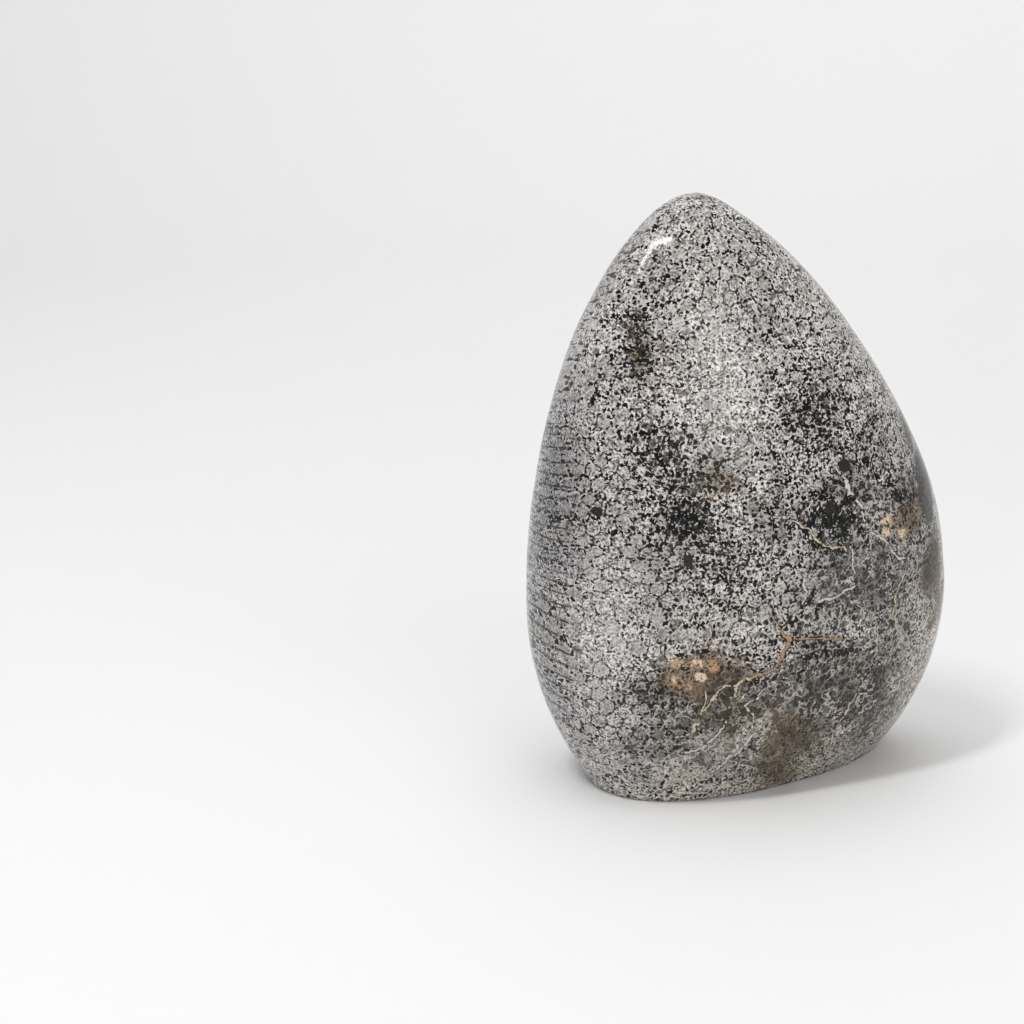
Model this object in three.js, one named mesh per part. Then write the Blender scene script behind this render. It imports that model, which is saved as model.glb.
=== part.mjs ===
// Fossil coral head: one polished freeform of colonial coral rock, sawn flat underneath.
// Millimetres, +Z up, broad face towards -Y, origin under the middle of the stone on its sawn base.
import * as THREE from 'three';

const HEIGHT = 150;            // sawn base to rounded tip
const SQUARENESS = 2.25;       // superellipse exponent of a level section; 2 is an ellipse
const BASE_TURN = 18;          // degrees that the sawn base is turned against the body
const TURN_FADES_AT = 60;      // height where that turn has died away
const BASE_EDGE = 1.2;         // ground-off edge round the sawn base
const RINGS = 40;              // level sections from base to tip
const SIDES = 64;              // points round a section

// How far the skin stands from the axis at each height, to the left (-X), right (+X),
// front (-Y) and back (+Y). The tip leans to the left.
const LEVELS = [
  { height: 0, left: 42, right: 48.5, front: 20, back: 26 },
  { height: 12, left: 48.5, right: 51.5, front: 28.5, back: 31 },
  { height: 30, left: 54.5, right: 56, front: 33, back: 33.5 },
  { height: 52, left: 56, right: 56, front: 35, back: 34 },
  { height: 75, left: 54.5, right: 51, front: 34, back: 32 },
  { height: 98, left: 50, right: 39.5, front: 30, back: 27.5 },
  { height: 118, left: 43, right: 26, front: 24.5, back: 22.5 },
  { height: 134, left: 34, right: 11.5, front: 17.5, back: 16 },
  { height: 144, left: 25.5, right: -1, front: 11, back: 10 },
  { height: HEIGHT, left: 13.5, right: -13.5, front: 0, back: 0 },
];

// Low swellings (+) and hollows (-) that the grinding left in the broad side, in millimetres.
// Bearing is in degrees round the section: 180 is the left flank, 270 the front.
const SWELLS = [
  { rise: 1.6, bearing: 203, spread: 13, height: 120, reach: 34 },
  { rise: -1.1, bearing: 232, spread: 15, height: 108, reach: 24 },
  { rise: 0.7, bearing: 268, spread: 22, height: 96, reach: 30 },
];

const ringAngle = (height) => Math.asin(Math.min(height / HEIGHT, 1)) / (Math.PI / 2);
const degrees = THREE.MathUtils.degToRad;

// A natural cubic spline through (knots, values): bends as evenly as a sprung batten.
function batten(knots, values) {
  const n = knots.length;
  const bend = new Array(n).fill(0);
  const share = new Array(n).fill(0);
  for (let i = 1; i < n - 1; i += 1) {
    const before = knots[i] - knots[i - 1];
    const after = knots[i + 1] - knots[i];
    const pivot = 2 * (before + after) - before * share[i - 1];
    const kink = (values[i + 1] - values[i]) / after - (values[i] - values[i - 1]) / before;
    share[i] = after / pivot;
    bend[i] = (6 * kink - before * bend[i - 1]) / pivot;
  }
  for (let i = n - 2; i > 0; i -= 1) bend[i] -= share[i] * bend[i + 1];
  return (at) => {
    let i = 0;
    while (i < n - 2 && at > knots[i + 1]) i += 1;
    const span = knots[i + 1] - knots[i];
    const b = (at - knots[i]) / span;
    const a = 1 - b;
    const curve = ((a ** 3 - a) * bend[i] + (b ** 3 - b) * bend[i + 1]) * span ** 2 / 6;
    return a * values[i] + b * values[i + 1] + curve;
  };
}

const knots = LEVELS.map((level) => ringAngle(level.height));
const reach = {};
for (const side of ['left', 'right', 'front', 'back']) {
  reach[side] = batten(knots, LEVELS.map((level) => level[side]));
}

function swell(bearing, height) {
  let rise = 0;
  for (const spot of SWELLS) {
    const across = (bearing - spot.bearing) / spot.spread;
    const along = (height - spot.height) / spot.reach;
    rise += spot.rise * Math.exp(-across * across - along * along);
  }
  return rise;
}

// A point of the skin: ring runs from 0 at the base to 1 at the tip, bearing round the stone.
function skinPoint(ring, bearing) {
  const height = HEIGHT * Math.sin(ring * Math.PI / 2);
  const [left, right, front, back] = ['left', 'right', 'front', 'back'].map((side) => reach[side](ring));
  const round = (value) => Math.sign(value) * Math.abs(value) ** (2 / SQUARENESS);
  const outward = new THREE.Vector2(Math.cos(degrees(bearing)), Math.sin(degrees(bearing)));
  const point = new THREE.Vector2(
    (left + right) / 2 * round(outward.x),
    (front + back) / 2 * round(outward.y),
  );
  point.addScaledVector(outward, swell(bearing, height));
  const fade = Math.max(1 - height / TURN_FADES_AT, 0) ** 2;
  point.rotateAround(new THREE.Vector2(), degrees(BASE_TURN) * fade);
  return new THREE.Vector3(point.x + (right - left) / 2, point.y + (back - front) / 2, height);
}

function stoneGeometry() {
  const points = [new THREE.Vector3((reach.right(0) - reach.left(0)) / 2, (reach.back(0) - reach.front(0)) / 2, 0)];
  const baseRing = ringAngle(BASE_EDGE);
  const rings = [0];
  for (let i = 0; i < RINGS; i += 1) rings.push(baseRing + (1 - baseRing) * i / RINGS);
  for (const ring of rings) {
    for (let side = 0; side < SIDES; side += 1) {
      const point = skinPoint(ring, 360 * side / SIDES);
      if (ring === 0) {
        const inward = points[0].clone().sub(point).setLength(BASE_EDGE);
        point.add(inward);
      }
      points.push(point);
    }
  }
  points.push(skinPoint(1, 0));
  const tip = points.length - 1;
  const at = (ring, side) => 1 + ring * SIDES + side % SIDES;
  const faces = [];
  for (let side = 0; side < SIDES; side += 1) {
    faces.push(0, at(0, side + 1), at(0, side));
    for (let ring = 0; ring < rings.length - 1; ring += 1) {
      faces.push(at(ring, side), at(ring, side + 1), at(ring + 1, side + 1));
      faces.push(at(ring, side), at(ring + 1, side + 1), at(ring + 1, side));
    }
    faces.push(at(rings.length - 1, side), at(rings.length - 1, side + 1), tip);
  }
  const geometry = new THREE.BufferGeometry().setFromPoints(points);
  geometry.setIndex(faces);
  geometry.computeBoundingBox();
  const middle = geometry.boundingBox.getCenter(new THREE.Vector3());
  geometry.translate(-middle.x, -middle.y, 0);
  geometry.computeVertexNormals();
  return geometry;
}

const polishedCoral = new THREE.MeshStandardMaterial({ color: 0x8a8987, roughness: 0.15, metalness: 0 });

const stone = new THREE.Mesh(stoneGeometry(), polishedCoral);
stone.name = 'coral_head';

const part = new THREE.Group();
part.add(stone);

export default part;
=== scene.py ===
# Fossil coral head: a polished freeform of fossil colonial coral, standing on its sawn base.
# Metres, +Z up, broad face towards -Y. The stone's own sizes are written in millimetres.
import math

import bpy
import numpy as np
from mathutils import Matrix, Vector


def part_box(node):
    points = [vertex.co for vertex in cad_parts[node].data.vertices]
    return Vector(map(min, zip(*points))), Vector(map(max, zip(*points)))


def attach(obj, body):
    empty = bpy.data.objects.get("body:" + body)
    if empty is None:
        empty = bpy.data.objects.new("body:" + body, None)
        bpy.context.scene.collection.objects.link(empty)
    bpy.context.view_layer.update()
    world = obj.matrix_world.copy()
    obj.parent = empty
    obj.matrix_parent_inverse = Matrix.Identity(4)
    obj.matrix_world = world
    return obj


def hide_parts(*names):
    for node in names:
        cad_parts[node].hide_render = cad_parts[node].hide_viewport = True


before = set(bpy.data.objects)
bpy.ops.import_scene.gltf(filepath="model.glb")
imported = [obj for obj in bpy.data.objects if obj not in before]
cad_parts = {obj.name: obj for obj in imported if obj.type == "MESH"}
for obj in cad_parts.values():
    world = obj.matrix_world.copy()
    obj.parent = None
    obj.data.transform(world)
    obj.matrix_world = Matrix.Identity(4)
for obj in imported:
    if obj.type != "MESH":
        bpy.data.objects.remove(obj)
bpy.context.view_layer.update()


# ---------------------------------------------------------------------------------------------
# The stone. One lump of limestone full of coral, sawn flat underneath, ground by hand on a wheel
# to a leaning flame shape and polished all over. Nothing is set in it or fixed to it.
# ---------------------------------------------------------------------------------------------
MM = 0.001                     # metres in a millimetre
HEIGHT = 150                   # sawn base to rounded tip
SQUARENESS = 2.25              # superellipse exponent of a level section
BASE_TURN = 18                 # degrees that the sawn base is turned against the body
TURN_FADES_AT = 60             # height where that turn has died away
BASE_EDGE = 1.2                # narrow ground-off edge round the sawn base
EDGE_STEPS = 6                 # rings across that edge
BASE_RINGS = 9                 # rings from the middle of the base to its edge
RINGS = 212                    # level sections from the edge to the tip
SIDES = 360                    # points round a section

# height, then how far the skin stands from the axis to the left, right, front and back
LEVELS = np.array([
    (0, 42, 48.5, 20, 26),
    (12, 48.5, 51.5, 28.5, 31),
    (30, 54.5, 56, 33, 33.5),
    (52, 56, 56, 35, 34),
    (75, 54.5, 51, 34, 32),
    (98, 50, 39.5, 30, 27.5),
    (118, 43, 26, 24.5, 22.5),
    (134, 34, 11.5, 17.5, 16),
    (144, 25.5, -1, 11, 10),
    (HEIGHT, 13.5, -13.5, 0, 0),
])

# rise, bearing, spread, height, reach of the low swellings and hollows left by the wheel
SWELLS = [
    (1.6, 203, 13, 120, 34),
    (-1.1, 232, 15, 108, 24),
    (0.7, 268, 22, 96, 30),
]


def batten(knots, values):
    """A natural cubic spline through (knots, values), as a function of arrays."""
    gaps = np.diff(knots)
    last = len(knots) - 1
    lines = np.eye(len(knots))
    kinks = np.zeros(len(knots))
    for i in range(1, last):
        lines[i, i - 1:i + 2] = gaps[i - 1], 2 * (gaps[i - 1] + gaps[i]), gaps[i]
        slope_after = (values[i + 1] - values[i]) / gaps[i]
        slope_before = (values[i] - values[i - 1]) / gaps[i - 1]
        kinks[i] = 6 * (slope_after - slope_before)
    bend = np.linalg.solve(lines, kinks)

    def at(x):
        i = np.clip(np.searchsorted(knots, x) - 1, 0, last - 1)
        b = (x - knots[i]) / gaps[i]
        a = 1 - b
        curve = ((a ** 3 - a) * bend[i] + (b ** 3 - b) * bend[i + 1]) * gaps[i] ** 2 / 6
        return a * values[i] + b * values[i + 1] + curve

    return at


def ring_at(height):
    """The ring number, 0 at the base and 1 at the tip, of a height."""
    return np.arcsin(np.clip(height / HEIGHT, 0, 1)) / (math.pi / 2)


reach = [batten(ring_at(LEVELS[:, 0]), LEVELS[:, side]) for side in range(1, 5)]


def skin(ring, bearing):
    """Points of the skin in millimetres, for arrays of ring numbers and of bearings in degrees."""
    height = HEIGHT * np.sin(ring * math.pi / 2)
    left, right, front, back = (side(ring) for side in reach)
    out_x, out_y = np.cos(np.radians(bearing)), np.sin(np.radians(bearing))
    power = 2 / SQUARENESS
    swell = sum(
        rise * np.exp(-((bearing - toward) / spread) ** 2 - ((height - level) / along) ** 2)
        for rise, toward, spread, level, along in SWELLS
    )
    x = (left + right) / 2 * np.sign(out_x) * np.abs(out_x) ** power + swell * out_x
    y = (front + back) / 2 * np.sign(out_y) * np.abs(out_y) ** power + swell * out_y
    turn = math.radians(BASE_TURN) * np.clip(1 - height / TURN_FADES_AT, 0, None) ** 2
    return np.stack([
        x * np.cos(turn) - y * np.sin(turn) + (right - left) / 2,
        x * np.sin(turn) + y * np.cos(turn) + (back - front) / 2,
        height,
    ], axis=-1)


def stone_rings():
    """Every ring of the stone from the middle of its base to just under the tip: (rings, sides, 3)."""
    bearing = np.arange(SIDES) * 360 / SIDES
    foot = skin(np.full(SIDES, ring_at(BASE_EDGE)), bearing)
    foot[:, 2] = 0
    middle = np.array([(reach[1](0.0) - reach[0](0.0)) / 2, (reach[3](0.0) - reach[2](0.0)) / 2, 0])
    outward = foot - middle
    outward /= np.linalg.norm(outward, axis=1)[:, None]
    rings = []
    for i in range(1, BASE_RINGS + 1):
        rings.append(middle + (foot - outward * BASE_EDGE - middle) * i / (BASE_RINGS + 1))
    for i in range(EDGE_STEPS):
        lean = math.radians(90 * i / EDGE_STEPS)
        ring = foot - outward * BASE_EDGE * (1 - math.sin(lean) ** 1.5)
        ring[:, 2] = BASE_EDGE * (1 - math.cos(lean) ** 1.5)
        rings.append(ring)
    first = ring_at(BASE_EDGE)
    for i in range(RINGS):
        rings.append(skin(np.full(SIDES, first + (1 - first) * i / RINGS), bearing))
    return middle, np.array(rings), skin(np.array([1.0]), np.array([0.0]))[0]


BACK_U = 0.75                  # middle of the back half on the flat map
FRONT_U = 0.25                 # middle of the front half
HALF_WIDE = 0.49               # width given to each half
SKIN_V = 0.22                  # where the skin starts above the base
SKIN_TALL = 0.77
BASE_U, BASE_V = 0.5, 0.1      # middle of the sawn base


def shell_map(rings, first):
    """Flat map of the skin: the front half and the back half laid side by side, the base under them."""
    around = np.linalg.norm(np.roll(rings, -1, axis=1) - rings, axis=2)
    run = np.concatenate([np.zeros((len(rings), 1)), np.cumsum(around, axis=1)], axis=1)
    half = SIDES // 2
    spine = rings[:, SIDES * 3 // 4]
    climb = np.concatenate([[0], np.cumsum(np.linalg.norm(np.diff(spine, axis=0), axis=1))])
    climb = (climb - climb[first]) / (climb[-1] - climb[first])
    wide = (run[:, half] * 1.04).max()
    u = np.zeros((len(rings), SIDES + 1))
    u[:, :half + 1] = BACK_U + (run[:, :half + 1] - run[:, [half // 2]]) / wide * HALF_WIDE
    back_edge = u[:, half].copy()
    u[:, half:] = FRONT_U + (run[:, half:] - run[:, [half + half // 2]]) / wide * HALF_WIDE
    v = np.repeat((SKIN_V + SKIN_TALL * climb)[:, None], SIDES + 1, axis=1)
    return u, v, back_edge


def stone_mesh():
    """The stone as a mesh of rings, fitted into its box and laid out on the flat map."""
    middle, rings, tip = stone_rings()
    count = len(rings)
    points = np.concatenate([[middle], rings.reshape(-1, 3), [tip]])
    low, high = points.min(axis=0), points.max(axis=0)
    box_low, box_high = (np.array(corner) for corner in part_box("coral_head"))
    points = box_low + (points - low) * (box_high - box_low) / (high - low)

    first = BASE_RINGS + EDGE_STEPS - 1
    u, v, back_edge = shell_map(rings, first)
    flat = (rings[:, :, :2] - middle[:2]) / 100
    faces, places = [], []

    def place(ring, side, seam):
        """Where a corner lies on the flat map. seam says which half its face belongs to."""
        if ring <= first and seam == "base":
            spot = flat[ring, side % SIDES]
            return BASE_U + spot[0] * 0.8, BASE_V + spot[1] * 0.34
        if side == SIDES // 2 and seam == "back":
            return back_edge[ring], v[ring, 0]
        return u[ring, side], v[ring, side]

    def corner(ring, side):
        return 1 + ring * SIDES + side % SIDES

    for side in range(SIDES):
        half = "back" if side < SIDES // 2 else "front"
        faces.append((0, corner(0, side + 1), corner(0, side)))
        places += [(BASE_U, BASE_V), place(0, side + 1, "base"), place(0, side, "base")]
        for ring in range(count - 1):
            seam = "base" if ring < first else half
            patch = ((ring, side), (ring, side + 1), (ring + 1, side + 1), (ring + 1, side))
            faces.append(tuple(corner(r, s) for r, s in patch))
            places += [place(r, s, seam) for r, s in patch]
        faces.append((corner(count - 1, side), corner(count - 1, side + 1), len(points) - 1))
        summit = (BACK_U if half == "back" else FRONT_U, 0.993)
        places += [place(count - 1, side, half), place(count - 1, side + 1, half), summit]
    mesh = bpy.data.meshes.new("coral_stone")
    mesh.from_pydata(points.tolist(), [], faces)
    mesh.uv_layers.new(name="OFBake").data.foreach_set("uv", np.array(places, dtype=np.float32).ravel())
    mesh.shade_smooth()
    return mesh


class Field:
    """A number or colour that varies over the stone, so that sums with it read as plain arithmetic."""

    def __init__(self, tree, socket):
        self.tree, self.socket = tree, socket

    def __add__(self, other):
        return sum_of(self.tree, "ADD", self, other)

    def __radd__(self, other):
        return sum_of(self.tree, "ADD", other, self)

    def __sub__(self, other):
        return sum_of(self.tree, "SUBTRACT", self, other)

    def __rsub__(self, other):
        return sum_of(self.tree, "SUBTRACT", other, self)

    def __mul__(self, other):
        return sum_of(self.tree, "MULTIPLY", self, other)

    def __rmul__(self, other):
        return sum_of(self.tree, "MULTIPLY", other, self)

    def __truediv__(self, other):
        return sum_of(self.tree, "DIVIDE", self, other)

    def __rtruediv__(self, other):
        return sum_of(self.tree, "DIVIDE", other, self)


def add(tree, kind, feeds=None, **settings):
    """Adds a node, sets it up and feeds its inputs, named or numbered, from fields or plain values."""
    node = tree.nodes.new(kind)
    for name, value in settings.items():
        setattr(node, name, value)
    for name, value in (feeds or {}).items():
        if isinstance(value, Field):
            tree.links.new(value.socket, node.inputs[name])
        else:
            node.inputs[name].default_value = value
    return node


def out(tree, node, name=0):
    """One output of a node, named or numbered, as a field."""
    return Field(tree, node.outputs[name])


def sum_of(tree, operation, *values):
    """A Math node: any operation on numbers, not only a sum."""
    return out(tree, add(tree, "ShaderNodeMath", dict(enumerate(values)), operation=operation))


def least(a, b):
    return sum_of(a.tree, "MINIMUM", a, b)


def most(a, b):
    return sum_of(a.tree, "MAXIMUM", a, b)


def ramp(value, low, high, low_out=0.0, high_out=1.0):
    """Goes smoothly from low_out to high_out as value goes from low to high."""
    node = add(value.tree, "ShaderNodeMapRange", interpolation_type="SMOOTHSTEP", clamp=False)
    for i, number in enumerate((value, low, high, low_out, high_out)):
        if isinstance(number, Field):
            value.tree.links.new(number.socket, node.inputs[i])
        else:
            node.inputs[i].default_value = number
    return out(value.tree, node)


def between(share, a, b):
    """a where share is 0, b where it is 1."""
    return a + share * (b - a)


def colour_between(share, a, b):
    """Colour a where share is 0, colour b where it is 1."""
    return out(share.tree, add(share.tree, "ShaderNodeMix", {0: share, 6: a, 7: b}, data_type="RGBA"), 2)


def vector_sum(tree, operation, *values, result=0):
    """A Vector Math node. result is 1 for the operations that give a number."""
    return out(tree, add(tree, "ShaderNodeVectorMath", dict(enumerate(values)), operation=operation), result)


def noise(place, size, detail=2.0, rough=0.5, colour=False):
    """Soft random cloud, 0 to 1, whose lumps are about size millimetres across."""
    feeds = {"Vector": place, "Scale": 1 / size, "Detail": detail, "Roughness": rough}
    return out(place.tree, add(place.tree, "ShaderNodeTexNoise", feeds), 1 if colour else 0)


def new_group(name, inputs, outputs):
    """A shader node group with named inputs and outputs. Gives the group, its inputs and its output node."""
    tree = bpy.data.node_groups.new(name, "ShaderNodeTree")
    for label, value in inputs.items():
        kind = "NodeSocketVector" if isinstance(value, tuple) else "NodeSocketFloat"
        tree.interface.new_socket(label, in_out="INPUT", socket_type=kind).default_value = value
    for label in outputs:
        tree.interface.new_socket(label, in_out="OUTPUT", socket_type="NodeSocketFloat")
    given = tree.nodes.new("NodeGroupInput")
    fields = {label: Field(tree, given.outputs[label]) for label in inputs}
    return tree, fields, tree.nodes.new("NodeGroupOutput")


def use(tree, group, **feeds):
    """Places a group in a tree. Gives its outputs by name."""
    node = tree.nodes.new("ShaderNodeGroup")
    node.node_tree = group
    for name, value in feeds.items():
        socket = node.inputs[name]
        if isinstance(value, Field):
            tree.links.new(value.socket, socket)
        else:
            socket.default_value = value
    return {socket.name: Field(tree, socket) for socket in node.outputs}


def corallite_group():
    """Coral cups packed like honeycomb across the columns: how far a point lies from its cup's
    middle and from its neighbour's wall, in cup widths, with the cup's own shade and bearing."""
    tree, given, end = new_group(
        "corallite columns", {"Place": (0.0, 0.0, 0.0), "Jitter": 0.4}, ["Reach", "Gap", "Shade", "Bearing"])
    rows = math.sqrt(3)
    offsets, shades, nears, nexts = [], [], [], []
    for shift in (40.0, 70.5):
        squeezed = vector_sum(tree, "MULTIPLY_ADD", given["Place"], (1, 1 / rows, 0), (shift, shift, 0))
        for feature in ("F1", "F2"):
            feeds = {"Vector": squeezed, "Scale": 1.0, "Randomness": given["Jitter"]}
            cells = add(tree, "ShaderNodeTexVoronoi", feeds, voronoi_dimensions="2D", feature=feature)
            offset = vector_sum(tree, "SUBTRACT", squeezed, out(tree, cells, "Position"))
            offset = vector_sum(tree, "MULTIPLY", offset, (1, rows, 0))
            length = vector_sum(tree, "LENGTH", offset, result=1)
            if feature == "F1":
                offsets.append(offset)
                shades.append(out(tree, cells, "Color"))
                nears.append(length)
            else:
                nexts.append(length)
    second_row = sum_of(tree, "LESS_THAN", nears[1], nears[0])
    near = least(*nears)
    beyond = least(most(*nears), least(*nexts))
    feeds = {0: second_row, 4: offsets[0], 5: offsets[1]}
    offset = out(tree, add(tree, "ShaderNodeMix", feeds, data_type="VECTOR"), 1)
    shade = colour_between(second_row, shades[0], shades[1])
    parts = add(tree, "ShaderNodeSeparateXYZ", {0: offset})
    bearing = sum_of(tree, "ARCTAN2", out(tree, parts, 1), out(tree, parts, 0))
    shade = out(tree, add(tree, "ShaderNodeSeparateColor", {0: shade}), 0)
    for name, field in (("Reach", near), ("Gap", beyond - near), ("Shade", shade), ("Bearing", bearing)):
        tree.links.new(field.socket, end.inputs[name])
    return tree


corallites = corallite_group()


PATCH_Y, PATCH_DEEP = -30, 34  # the grounds lie about the broad face and reach this far into the stone


def patches(place, spots, name):
    """The largest of several soft lumps of ground, each (x, z, width, height, strength) on the front half:
    full in its middle and fading to nothing at its outline."""
    tree, given, end = new_group(name, {"Place": (0.0, 0.0, 0.0)}, ["Strength"])
    total = None
    for x, z, wide, tall, strength in spots:
        offset = vector_sum(tree, "SUBTRACT", given["Place"], (x, PATCH_Y, z))
        offset = vector_sum(tree, "DIVIDE", offset, (wide, PATCH_DEEP, tall))
        patch = ramp(vector_sum(tree, "LENGTH", offset, result=1), 1.1, 0.25, 0.0, strength)
        total = patch if total is None else most(total, patch)
    tree.links.new(total.socket, end.inputs["Strength"])
    return use(place.tree, tree, Place=place)["Strength"]


def away_from(place, routes, name):
    """Millimetres to the nearest of several healed cracks, each a chain of (x, z) turning points."""
    tree, given, end = new_group(name, {"Place": (0.0, 0.0, 0.0)}, ["Away"])
    total = None
    for route in routes:
        for (x0, z0), (x1, z1) in zip(route, route[1:]):
            run = (x1 - x0, 0, z1 - z0)
            square = run[0] ** 2 + run[2] ** 2
            offset = vector_sum(tree, "SUBTRACT", given["Place"], (x0, 0, z0))
            along = vector_sum(tree, "DOT_PRODUCT", offset, run, result=1) * (1 / square)
            along = most(least(along, 1.0), 0.0)
            nearest = vector_sum(tree, "SCALE", run)
            tree.links.new(along.socket, nearest.socket.node.inputs[3])
            away = vector_sum(tree, "DISTANCE", offset, nearest, result=1)
            total = away if total is None else least(total, away)
    tree.links.new(total.socket, end.inputs["Away"])
    return use(place.tree, tree, Place=place)["Away"]


CUP_WIDTH = 3.5                # across one coral cup
PIT_WIDTH = 1.2                # across one dark pit of the fine mesh
COLUMN_RISE = 5                # degrees that the coral columns climb towards the front
FAN_FROM = 260                 # how far behind the stone's middle the columns spread from

# Grounds on the broad face: (x, z, width, height, strength), the strength fading to the outline.
DARK_CUPS = [                  # cups filled dark, with pale walls
    (14, 83, 9, 8, 0.75), (22, 75, 9, 7, 0.7), (17, 58, 15, 9, 0.7), (31, 42, 11, 11, 0.65),
    (7, 47, 10, 7, 0.6), (10, 28, 12, 9, 0.7), (26, 22, 11, 10, 0.75), (-10, 26, 8, 6, 0.5),
]
OPEN_CUPS = [                  # cups worn open to a crumbly mesh
    (-35, 114, 13, 20, 1.0), (-33, 92, 14, 16, 0.9), (-27, 77, 22, 16, 1.1), (8, 96, 26, 26, 1.0),
    (-16, 58, 20, 20, 1.0), (-37, 33, 13, 8, 0.9), (14, 76, 26, 18, 1.0), (0, 44, 26, 16, 1.0),
    (24, 34, 22, 30, 0.9),
]
GLOOM = [                      # darker ground, more pits and dark fillings
    (-36, 118, 6, 12, 1.1), (-31, 131, 9, 9, 0.9), (-34, 90, 9, 9, 0.6), (-24, 86, 14, 8, 0.7),
    (-28, 74, 9, 9, 0.9), (-35, 65, 6, 6, 0.5), (-35, 49, 5, 9, 0.5), (-20, 67, 12, 10, 0.5),
    (-5, 75, 8, 15, 0.8), (-5, 122, 9, 9, 0.5), (9, 69, 11, 14, 1.1), (17, 80, 11, 9, 1.1),
    (33, 76, 11, 10, 1.1), (6, 98, 13, 10, 0.6), (6, 56, 9, 7, 0.6), (36, 58, 11, 16, 0.7),
    (27, 65, 8, 7, 0.6), (23, 89, 10, 8, 0.6), (-36, 30, 12, 7, 0.8), (-26, 21, 18, 9, 0.8),
    (26, 24, 16, 18, 0.6), (-12, 31, 13, 8, 0.7), (-4, 30, 7, 6, 0.5), (30, 13, 14, 12, 0.5),
    (2, 11, 22, 10, 0.3), (8, 35, 13, 13, 0.9), (38, 92, 8, 14, 0.5), (-20, 145, 16, 6, 0.5),
]
CLOUDED = [                    # ground dulled by grey mud
    (10, 24, 28, 18, 0.9), (26, 26, 20, 24, 0.9), (-4, 12, 24, 12, 0.7), (-20, 27, 20, 12, 0.9),
    (44, 56, 8, 16, 1.0), (20, 57, 20, 14, 0.95), (-26, 15, 24, 11, 0.65), (36, 80, 6, 9, 0.7),
]
CLEAN_CUPS = [                 # cups standing clear of each other in thin dark walls
    (-37, 62, 17, 17, 1.0), (-52, 80, 17, 56, 1.2), (-46, 26, 20, 28, 1.1), (-16, 134, 30, 20, 0.5),
]
# Paler, smoother ground. The first lump, high on the broad face, is painted sheen: the front softbox's
# reflection painted into the colour. The other lumps are pale ground.
PALE_GROUND_AND_SHEEN = [
    (-20, 106, 14, 34, 0.7), (-45, 42, 14, 30, 0.9), (-4, 21, 8, 8, 0.9), (-24, 9, 8, 5, 0.9),
    (-43, 12, 8, 8, 0.7), (36, 32, 8, 11, 0.7), (-17, 17, 8, 6, 1.0), (40, 48, 9, 8, 0.5),
    (-12, 47, 7, 6, 0.7),
]
BROWN_STAINS = [
    (-23, 36, 13, 8, 1.0), (1, 14, 12, 15, 0.85), (44, 55, 7, 12, 0.9), (48, 47, 6, 9, 1.0),
    (-19, 83, 7, 6, 0.45), (-34, 114, 9, 16, 0.4), (34, 70, 8, 6, 0.8), (3, 4, 11, 6, 0.8),
    (-14, 26, 20, 8, 0.4),
]
CRYSTALS = [
    (-24.4, 39, 3.4, 2.6, 1.0), (-29.2, 39.2, 2.2, 1.7, 0.9), (-29.3, 34.7, 2.6, 2.3, 0.9),
    (-23.4, 35.2, 2.4, 2.2, 1.4), (-26, 33.2, 2.2, 1.7, 0.8), (-20.8, 38.2, 3.4, 2.4, 0.7),
    (25.5, 70.8, 4.2, 1.9, 1.1), (25.5, 67.6, 3.6, 2.0, 1.3), (31, 67, 3.0, 1.7, 1.1),
]
DARK_SINGLES = [
    (-46.5, 76, 1.9, 2.1, 1.0), (-27, 65, 2.0, 2.3, 1.0), (13.5, 85.5, 2.8, 2.5, 1.0),
    (9, 76, 2.6, 3.0, 0.9),
]
# Painted dark reflection: a dark band along the right rim, standing in for something dark reflected in the
# polish there.
DARK_REFLECTION_BY_RIGHT_RIM = [(42.5, 78, 6, 17, 1.0), (38, 92, 4, 12, 0.7)]

# Healed cracks on the broad face: chains of (x, z).
WHITE_VEINS = [
    [(10.8, 86), (15, 80), (17, 76), (19, 72), (22, 68.5), (31.4, 61)],
    [(-11.5, 31), (-12.4, 28), (-9.4, 23), (-10, 19)], [(-7, 32), (-8.7, 28.5), (-11, 26.5)],
    [(-16.5, 24), (-21, 17.5), (-26, 15)], [(-7.7, 19.5), (-13.6, 13.7), (-18, 10)],
    [(-11.8, 45), (-15, 42)], [(-3.6, 74), (0, 72.5)], [(16.2, 59.5), (14.6, 64.8)],
    [(1, 53), (2.6, 56), (1.6, 60)], [(6.5, 53), (12, 54.5), (17, 56)], [(20, 26), (23.5, 29.5)],
]
CREAM_VEINS = [
    [(0, 72.5), (2.3, 71), (6, 68), (9.4, 66.3), (13.2, 64.5)],
    [(20, 26), (16, 18.6), (14.5, 8.3), (14.6, 3)], [(32, 57), (30.4, 53.3), (29, 47), (28.3, 44)],
    [(-22, 31), (-22.8, 27.5), (-23.6, 24), (-28.2, 19)],
    [(-10.7, 34.5), (-16, 32.9), (-19, 29.7), (-22.5, 26.5)], [(-14.2, 32.7), (-13.8, 29)],
    [(-21.6, 48.5), (-21.7, 43.5)],
]
ORANGE_VEINS = [
    [(12.3, 42), (6, 42.6), (0, 43), (-3, 45.6), (-6, 50.5)],
    [(0, 43), (-3.5, 38), (-6, 36.5), (-10.7, 34.5)],
]


def swing(place, size, detail=2.0, rough=0.6):
    """The same cloud as noise(), but swinging between about -1 and 1."""
    return noise(place, size, detail, rough) * 6 - 3


def warped(place, size, reach, detail=1.0):
    """place pushed about by up to reach millimetres, in lumps of the given size."""
    parts = add(place.tree, "ShaderNodeSeparateColor", {0: noise(place, size, detail, 0.6, colour=True)})
    push = add(place.tree, "ShaderNodeCombineXYZ", {i: out(place.tree, parts, i) for i in range(3)})
    push = vector_sum(place.tree, "SUBTRACT", out(place.tree, push), (0.5, 0.5, 0.5))
    return vector_sum(place.tree, "MULTIPLY_ADD", push, (reach, reach, reach), place)


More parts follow.
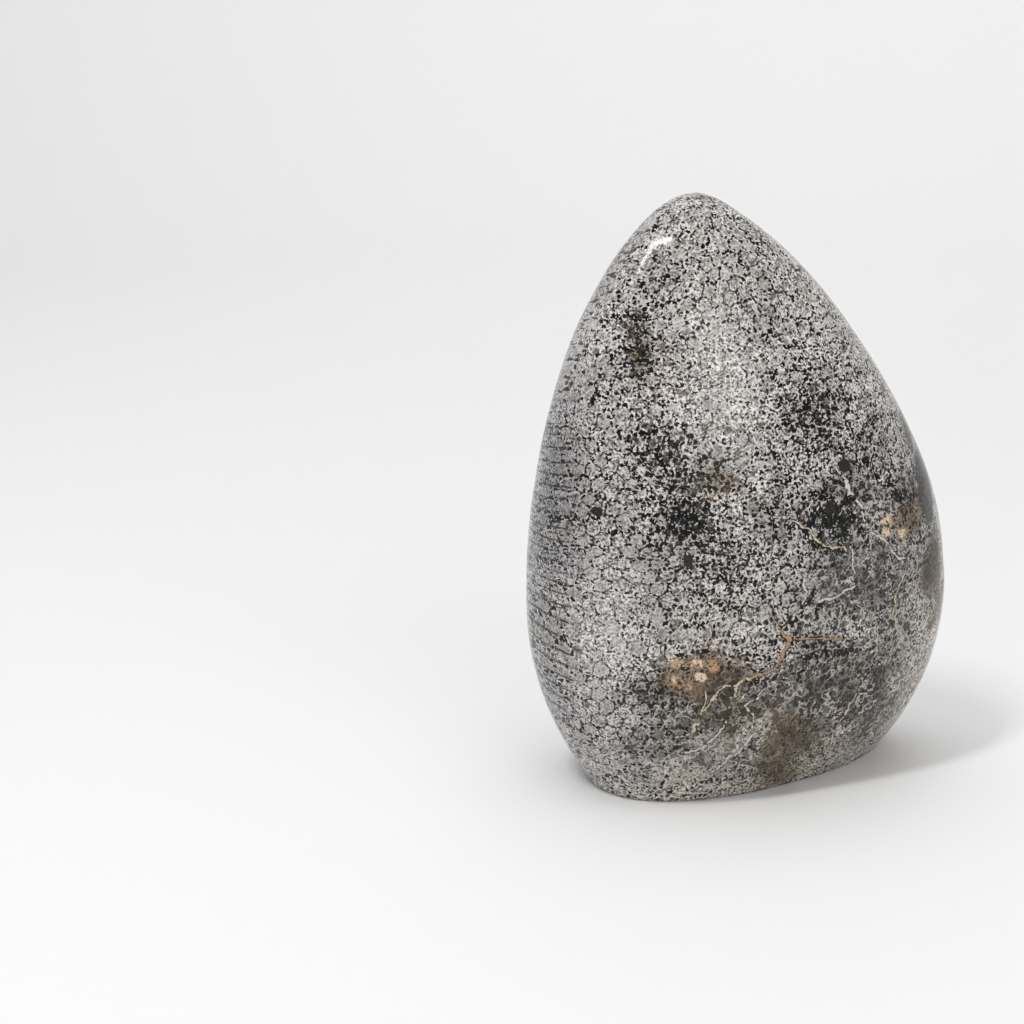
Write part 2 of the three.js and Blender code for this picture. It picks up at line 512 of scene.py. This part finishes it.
def coral_material():
    material = bpy.data.materials.new("polished_coral")
    material.use_nodes = True
    tree = material.node_tree
    shader = tree.nodes["Principled BSDF"]
    raw = out(tree, add(tree, "ShaderNodeTexCoord"), "Object")
    place = vector_sum(tree, "SCALE", raw)
    place.socket.node.inputs[3].default_value = 1 / MM
    crumb = swing(place, 1.05, 2.0, 0.75)
    grit = swing(place, 0.58, 1.0)
    lump = swing(place, 2.6)
    cloud = swing(place, 13)

    # The colony's columns: each point is carried back along its column to one flat section.
    sheaf = vector_sum(tree, "MULTIPLY", place, (1, 0.2, 1))
    bent = add(tree, "ShaderNodeSeparateXYZ", {0: warped(warped(sheaf, 26, 8), 4.0, 1.5, 2.0)})
    x = out(tree, bent, 0)
    plain = add(tree, "ShaderNodeSeparateXYZ", {0: place})
    y = out(tree, plain, 1)
    z = out(tree, bent, 2)
    spread = FAN_FROM / (FAN_FROM - y)
    rise = math.radians(COLUMN_RISE)
    across = x * spread / CUP_WIDTH
    up = ((z - 74) * math.cos(rise) + y * math.sin(rise)) * spread / CUP_WIDTH
    section = out(tree, add(tree, "ShaderNodeCombineXYZ", {0: across, 1: up}))
    cup = use(tree, corallites, Place=section, Jitter=0.22)

    # Which ground lies where. The far side has its own, by cloud.
    ragged = warped(place, 9, 13, 3.0)
    far_side = ramp(y, -8.0, 10.0)
    left_edge = ramp(x, -46.0, -54.0) * (1 - far_side)
    flank = ramp(sum_of(tree, "ABSOLUTE", x), 48.0, 52.5)
    stir = lump * 0.22 + crumb * 0.3
    dark = between(far_side, patches(ragged, DARK_CUPS, "dark cups"), ramp(cloud, 0.2, 1.2) * 0.9)
    loose = between(far_side, patches(ragged, OPEN_CUPS, "open cups"), ramp(cloud, 0.4, 1.3) * 0.8)
    gloom = between(far_side, patches(ragged, GLOOM, "gloom"), ramp(cloud, 0.3, 1.3) * 0.8) + left_edge * 0.3
    dulled = between(far_side, patches(ragged, CLOUDED, "clouded"), ramp(cloud, -0.7, -1.6) * 0.8)
    # pale ground, with a painted sheen high on the broad face
    pale_and_sheen = patches(ragged, PALE_GROUND_AND_SHEEN, "pale ground and painted sheen")
    dulled = dulled * ramp(stir, -0.3, 0.3, 0.75, 1.1)

    # Pale cups: petalled discs that crumble outwards into a fine pale mesh round dark pits, with
    # threads across.
    mesh_place = vector_sum(tree, "SCALE", section)
    mesh_place.socket.node.inputs[3].default_value = CUP_WIDTH / PIT_WIDTH
    pits = add(tree, "ShaderNodeTexVoronoi", {"Vector": mesh_place, "Scale": 1.0, "Randomness": 0.9},
               voronoi_dimensions="2D", feature="DISTANCE_TO_EDGE")
    pit = out(tree, pits, "Distance")
    clean = least(most(ramp(cloud + lump * 0.4, 0.0, 0.9), patches(ragged, CLEAN_CUPS, "clean cups")), 1.0)
    clean = most(most(clean, left_edge), far_side * ramp(cloud, 1.0, 0.3))
    ridge = sum_of(tree, "ABSOLUTE", lump + crumb * 0.30)
    thread = ramp(ridge, 0.40, 0.16) * ramp(crumb + lump, -1.2, 0.4, 0.4, 1.0) * (1 - clean * 0.6)
    web = ramp(ridge, 0.30, 0.10) * ramp(crumb + lump, -1.0, 0.3, 0.3, 1.0)
    spokes = sum_of(tree, "COSINE", cup["Bearing"] * 12 + cup["Shade"] * 6.283)
    hoops = sum_of(tree, "COSINE", cup["Reach"] * 38 + cup["Shade"] * 6.283)
    cone = 0.62 - cup["Reach"] + spokes * cup["Reach"] * 0.12
    body = between(least(loose, 1.0), cone, cone * 0.45 + 0.12) + crumb * (0.09 + loose * 0.07)
    body = least(body, (cup["Gap"] + flank * 0.3) * 1.9 + crumb * 0.09 + between(clean, 0.09, 0.02))
    # fewer pits under the pale ground and under the painted sheen
    depth = pit * 0.9 - body + grit * 0.10 + loose * (0.08 + gloom * 0.14) + gloom * 0.07 - pale_and_sheen * 0.12
    hole = ramp(depth - web * 0.14, -0.03, 0.04)
    own_shade = between(cup["Shade"], 0.78, 1.12)
    pore = ramp(grit + hoops * spokes * 0.25, 0.0, 0.45) * ramp(cup["Shade"], 0.15, 0.5, 0.4, 1.0)
    rim = ramp(body, 0.30, 0.08)
    pale = 0.395 * own_shade * (1 + lump * 0.10) * (1 - pore * 0.82 + ramp(grit, -0.15, -0.7) * 0.30)
    pale = pale + most(thread, rim * 0.8) * 0.30
    wall = ramp(cup["Gap"], 0.16, 0.06) * ramp(crumb + lump, -0.6, 0.3) * clean
    row = sum_of(tree, "ABSOLUTE", sum_of(tree, "FRACT", up * 1.155 + crumb * 0.03) - 0.5)
    seam = ramp(row, 0.38, 0.46) * ramp(lump + grit * 0.3, -0.6, 0.0, 0.3, 1.0) * flank
    wall = most(wall * (1 - flank), seam)
    pale = pale * (1 - wall * 0.88)
    hollow = 0.003 + ramp(body, 0.12, 0.5) * 0.08
    pale_tone = between(hole, pale, hollow)

    # Dark cups: dark fillings in broken pale lace.
    lace = ramp(0.15 - cup["Gap"] + crumb * 0.11 + grit * 0.05, 0.0, 0.07)
    lace = most(lace * ramp(crumb + lump, -0.9, 0.3, 0.2, 1.0), web)
    fleck = ramp(grit + crumb * 0.8 + lump * 0.3, 0.5, 1.0)
    filling = 0.010 + ramp(cup["Shade"], 0.2, 0.9) * 0.045 + grit * 0.012 + fleck * 0.14
    dark_tone = between(lace, most(filling, 0.003), 0.60)
    share = ramp(dark + lump * 0.30 + cup["Shade"] * 0.5 - 0.25, 0.25, 0.65)
    tone = between(share, pale_tone, dark_tone) * (1 - gloom * 0.36)

    # Dulled ground: mud over both, with pale threads and pinholes left in it.
    tangle = ramp(swing(place, 6.5, 1.0), -0.35, 0.45, 0.15, 1.0)
    mud = 0.054 + tone * (0.06 + tone * 0.18) + crumb * 0.016 + grit * 0.026
    mud = mud - hole * 0.036 + web * tangle * 0.42
    tone = between(least(dulled * 1.06, 1.0), tone, most(mud, 0.006))
    # painted sheen and pale ground: the tone is lighter there, and the highest lump stands in for the front
    # softbox's reflection
    tone = tone * between(pale_and_sheen, 1.0, 1.10) + pale_and_sheen * 0.035
    tone = tone * (1 - left_edge * ramp(z, 50.0, 78.0, 0.02, 0.34))
    singles = patches(warped(place, 1.4, 1.0), DARK_SINGLES, "dark singles") + crumb * 0.15 - thread * 0.2
    tone = between(ramp(singles, 0.42, 0.55), tone, 0.022 + grit * 0.010)
    # painted dark reflection: the tone is darkened beside the right rim in place of a dark reflection in the
    # polish
    painted_dark_rim = ramp(patches(warped(place, 5, 4.0, 2.0), DARK_REFLECTION_BY_RIGHT_RIM, "painted dark reflection") + stir * 0.3, 0.25, 0.6)
    tone = between(painted_dark_rim * 0.9, tone, 0.05 + lump * 0.01)

    warm = ramp(x, -52.0, -20.0) * (0.36 + ramp(z, 70.0, 20.0) * 0.64)
    warmth = colour_between(warm, (1.0, 0.972, 0.962, 1), (1.0, 0.915, 0.82, 1))
    grey = out(tree, add(tree, "ShaderNodeCombineColor", {0: tone, 1: tone, 2: tone}))
    feeds = {0: 1.0, 6: grey, 7: warmth}
    colour = out(tree, add(tree, "ShaderNodeMix", feeds, data_type="RGBA", blend_type="MULTIPLY"), 2)

    # Iron stain, and the small cream crystals that grew in it.
    brown = ramp(patches(ragged, BROWN_STAINS, "brown stains") + stir, 0.1, 0.65)
    stain = between(tone, 0.024, 0.25)
    rust = add(tree, "ShaderNodeCombineColor", {0: stain * 1.35, 1: stain * 0.98, 2: stain * 0.62})
    colour = colour_between(brown * 0.85, colour, out(tree, rust))
    crystal = patches(warped(place, 2.2, 2.5, 2.0), CRYSTALS, "crystals")
    crystal = crystal * ramp(crystal * 0.5 + crumb * 0.6 + grit * 0.4, 0.30, 0.75)
    gold = colour_between(ramp(crystal, 0.55, 1.0), (0.42, 0.25, 0.11, 1), (0.68, 0.57, 0.42, 1))
    colour = colour_between(ramp(crystal, 0.05, 0.45), colour, gold)

    # Healed cracks, thin and wandering, each with a dark shadow line beside its filling.
    wander = warped(warped(place, 6, 4.5), 1.3, 1.7, 2.0)
    front = ramp(y, 4.0, -6.0)
    wander = vector_sum(tree, "MULTIPLY", wander, (1, 0, 1))
    lost = (1 - ramp(swing(place, 2.2), -1.3, -0.4) * front) * 3 + crumb * 0.10
    white = away_from(wander, WHITE_VEINS, "white veins") + lost
    cream = away_from(wander, CREAM_VEINS, "cream veins") + lost
    orange = away_from(wander, ORANGE_VEINS, "orange veins") + lost * 0.6
    beside = ramp(least(least(white, cream), orange) + grit * 0.15, 0.75, 0.40)
    colour = colour_between(beside * 0.6, colour, (0.02, 0.018, 0.015, 1))
    colour = colour_between(ramp(white, 0.36, 0.16) * 0.9, colour, (0.66, 0.64, 0.59, 1))
    colour = colour_between(ramp(cream, 0.30, 0.10), colour, (0.62, 0.51, 0.36, 1))
    colour = colour_between(ramp(orange, 0.32, 0.12), colour, (0.46, 0.26, 0.125, 1))

    tree.links.new(colour.socket, shader.inputs["Base Color"])
    sawn = ramp(out(tree, plain, 2), 1.3, 0.9)
    gloss = between(sawn, ramp(cloud, -1.0, 1.0, 0.11, 0.17), 0.6)
    tree.links.new(gloss.socket, shader.inputs["Roughness"])
    polish = swing(place, 9, 1.0)
    bump = add(tree, "ShaderNodeBump", {"Height": polish, "Distance": 0.00008, "Strength": 0.5})
    tree.links.new(bump.outputs[0], shader.inputs["Normal"])
    shader.inputs["IOR"].default_value = 1.30
    return material


CHIPS = [                      # middle, size and strength of the chipped and pitted places
    ((35, -14, 7), (6, 8, 5), 1.0), ((41, -18, 20), (6, 8, 8), 0.8),
    ((38, -22, 12), (4, 6, 3), 0.7), ((50, -17, 50), (4, 6, 3.5), 0.7),
    ((52, -12, 56), (4, 6, 5), 0.5), ((-46, -14, 4), (5, 8, 3), 0.5),
]


def relief_group(material):
    """What the wheel and the knocks left: slow waves all over, and rough chips where the hand slipped.
    Everything is cut inwards, along the skin's own normal."""
    tree = bpy.data.node_groups.new("hand grinding", "GeometryNodeTree")
    tree.interface.new_socket("Stone", in_out="INPUT", socket_type="NodeSocketGeometry")
    sizes = {"Wave Depth": 0.2, "Wave Width": 21.0, "Chip Depth": 0.9, "Chip Grain": 2.6}
    for label, value in sizes.items():
        tree.interface.new_socket(label, in_out="INPUT", socket_type="NodeSocketFloat").default_value = value
    tree.interface.new_socket("Stone", in_out="OUTPUT", socket_type="NodeSocketGeometry")
    given = tree.nodes.new("NodeGroupInput")
    place = vector_sum(tree, "SCALE", out(tree, add(tree, "GeometryNodeInputPosition")))
    place.socket.node.inputs[3].default_value = 1 / MM
    waves = out(tree, add(tree, "ShaderNodeTexNoise", {
        "Vector": place, "Scale": 1 / out(tree, given, "Wave Width"), "Detail": 1.0}))
    grain = out(tree, add(tree, "ShaderNodeTexNoise", {
        "Vector": place, "Scale": 1 / out(tree, given, "Chip Grain"), "Detail": 2.0, "Roughness": 0.65}))
    chipped = None
    for middle, size, strength in CHIPS:
        offset = vector_sum(tree, "DIVIDE", vector_sum(tree, "SUBTRACT", place, middle), size)
        chip = ramp(vector_sum(tree, "LENGTH", offset, result=1) + grain * 0.8, 1.3, 0.6) * strength
        chipped = chip if chipped is None else most(chipped, chip)
    depth = ramp(waves, 0.25, 0.75) * out(tree, given, "Wave Depth")
    depth = depth + chipped * ramp(grain, 0.3, 0.6, 0.25, 1.0) * out(tree, given, "Chip Depth")
    normal = out(tree, add(tree, "GeometryNodeInputNormal"))
    inward = vector_sum(tree, "SCALE", normal)
    tree.links.new((depth * -MM).socket, inward.socket.node.inputs[3])
    ground = add(tree, "GeometryNodeSetPosition", {"Geometry": out(tree, given, "Stone"), "Offset": inward})
    painted = add(tree, "GeometryNodeSetMaterial", {"Geometry": out(tree, ground), "Material": material})
    tree.links.new(painted.outputs[0], tree.nodes.new("NodeGroupOutput").inputs[0])
    return tree


def ground_down(piece, group):
    """Runs a relief group over a piece and keeps the result as its plain mesh."""
    relief = piece.modifiers.new("relief", "NODES")
    relief.node_group = group
    for socket in group.interface.items_tree:
        if socket.in_out == "INPUT" and socket.socket_type == "NodeSocketFloat":
            relief[socket.identifier] = socket.default_value
    seen = bpy.context.evaluated_depsgraph_get()
    mesh = bpy.data.meshes.new_from_object(
        piece.evaluated_get(seen), preserve_all_data_layers=True, depsgraph=seen)
    piece.modifiers.clear()
    piece.data = mesh


stone = bpy.data.objects.new("coral_stone", stone_mesh())
bpy.context.scene.collection.objects.link(stone)
ground_down(stone, relief_group(coral_material()))
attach(stone, "root")
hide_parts("coral_head")


# ---------------------------------------------------------------------------------------------
# The floor: a plain pale table top that sweeps up all round, far outside the stone.
# ---------------------------------------------------------------------------------------------
def floor_material():
    material = bpy.data.materials.new("pale_floor")
    material.use_nodes = True
    shader = material.node_tree.nodes["Principled BSDF"]
    shader.inputs["Base Color"].default_value = (0.86, 0.86, 0.86, 1)
    shader.inputs["Roughness"].default_value = 0.7
    return material


def sweep_mesh(flat=1.3, curve=0.9, top=1.0, sides=96):
    """A round floor, flat to one radius, then curving up into a wall."""
    points = [(0, 0, 0)]
    profile = [(flat * 0.3, 0), (flat, 0)]
    for degrees in range(6, 91, 6):
        turn = math.radians(degrees)
        profile.append((flat + curve * math.sin(turn), curve * (1 - math.cos(turn))))
    profile.append((flat + curve, curve + top))
    for radius, height in profile:
        for i in range(sides):
            bearing = 2 * math.pi * i / sides
            points.append((radius * math.cos(bearing), radius * math.sin(bearing), height))
    faces = [(0, 1 + i, 1 + (i + 1) % sides) for i in range(sides)]
    for ring in range(len(profile) - 1):
        a, b = 1 + ring * sides, 1 + (ring + 1) * sides
        faces += [(a + i, b + i, b + (i + 1) % sides, a + (i + 1) % sides) for i in range(sides)]
    mesh = bpy.data.meshes.new("floor")
    mesh.from_pydata(points, [], faces)
    mesh.shade_smooth()
    return mesh


floor = bpy.data.objects.new("floor", sweep_mesh())
floor.data.materials.append(floor_material())
bpy.context.scene.collection.objects.link(floor)


# ---------------------------------------------------------------------------------------------
# Studio light: a soft white surround and four softboxes. A small one high on the left draws the
# sharp highlight beside the tip, broad ones hang in front and overhead, and one lights the wall.
# ---------------------------------------------------------------------------------------------
def softbox(name, place, aim, wide, tall, power):
    lamp = bpy.data.lights.new(name, "AREA")
    lamp.shape = "RECTANGLE"
    lamp.size, lamp.size_y, lamp.energy = wide, tall, power
    holder = bpy.data.objects.new(name, lamp)
    holder.location = place
    holder.rotation_euler = (Vector(aim) - Vector(place)).to_track_quat("-Z", "Y").to_euler()
    bpy.context.scene.collection.objects.link(holder)


softbox("key", (-0.63, -0.36, 1.2), (0, 0, 0.12), 0.14, 0.32, 6.2)
softbox("front", (0.13, -1.23, 0.74), (0, 0, 0.09), 0.9, 0.8, 3.4)
softbox("overhead", (0.0, 0.1, 1.6), (0, 0, 0), 1.2, 1.2, 8.0)
softbox("backdrop", (0.5, 0.9, 1.5), (1.0, 2.1, 0.7), 1.0, 0.5, 8.0)

world = bpy.data.worlds.new("studio")
world.use_nodes = True
world.node_tree.nodes["Background"].inputs[0].default_value = (1, 1, 1, 1)
world.node_tree.nodes["Background"].inputs[1].default_value = 0.42
bpy.context.scene.world = world
bpy.context.scene.view_settings.view_transform = "Standard"


# ---------------------------------------------------------------------------------------------
# The camera stands to the left of the broad face and a little above the stone.
# ---------------------------------------------------------------------------------------------
AZIMUTH, ELEVATION, DISTANCE = -24, 12.3, 0.5157
LOOK_LEVEL, LOOK_DOWN, LOOK_RIGHT = 0.074, 13.02, 17.29
around, above = math.radians(AZIMUTH), math.radians(ELEVATION)
camera = bpy.data.objects.new("camera", bpy.data.cameras.new("camera"))
camera.data.lens = 70
camera.location = (
    DISTANCE * math.sin(around) * math.cos(above),
    -DISTANCE * math.cos(around) * math.cos(above),
    LOOK_LEVEL + DISTANCE * math.sin(above),
)
camera.rotation_euler = (math.radians(90 - LOOK_DOWN), 0, math.radians(-LOOK_RIGHT))
bpy.context.scene.collection.objects.link(camera)
bpy.context.scene.camera = camera
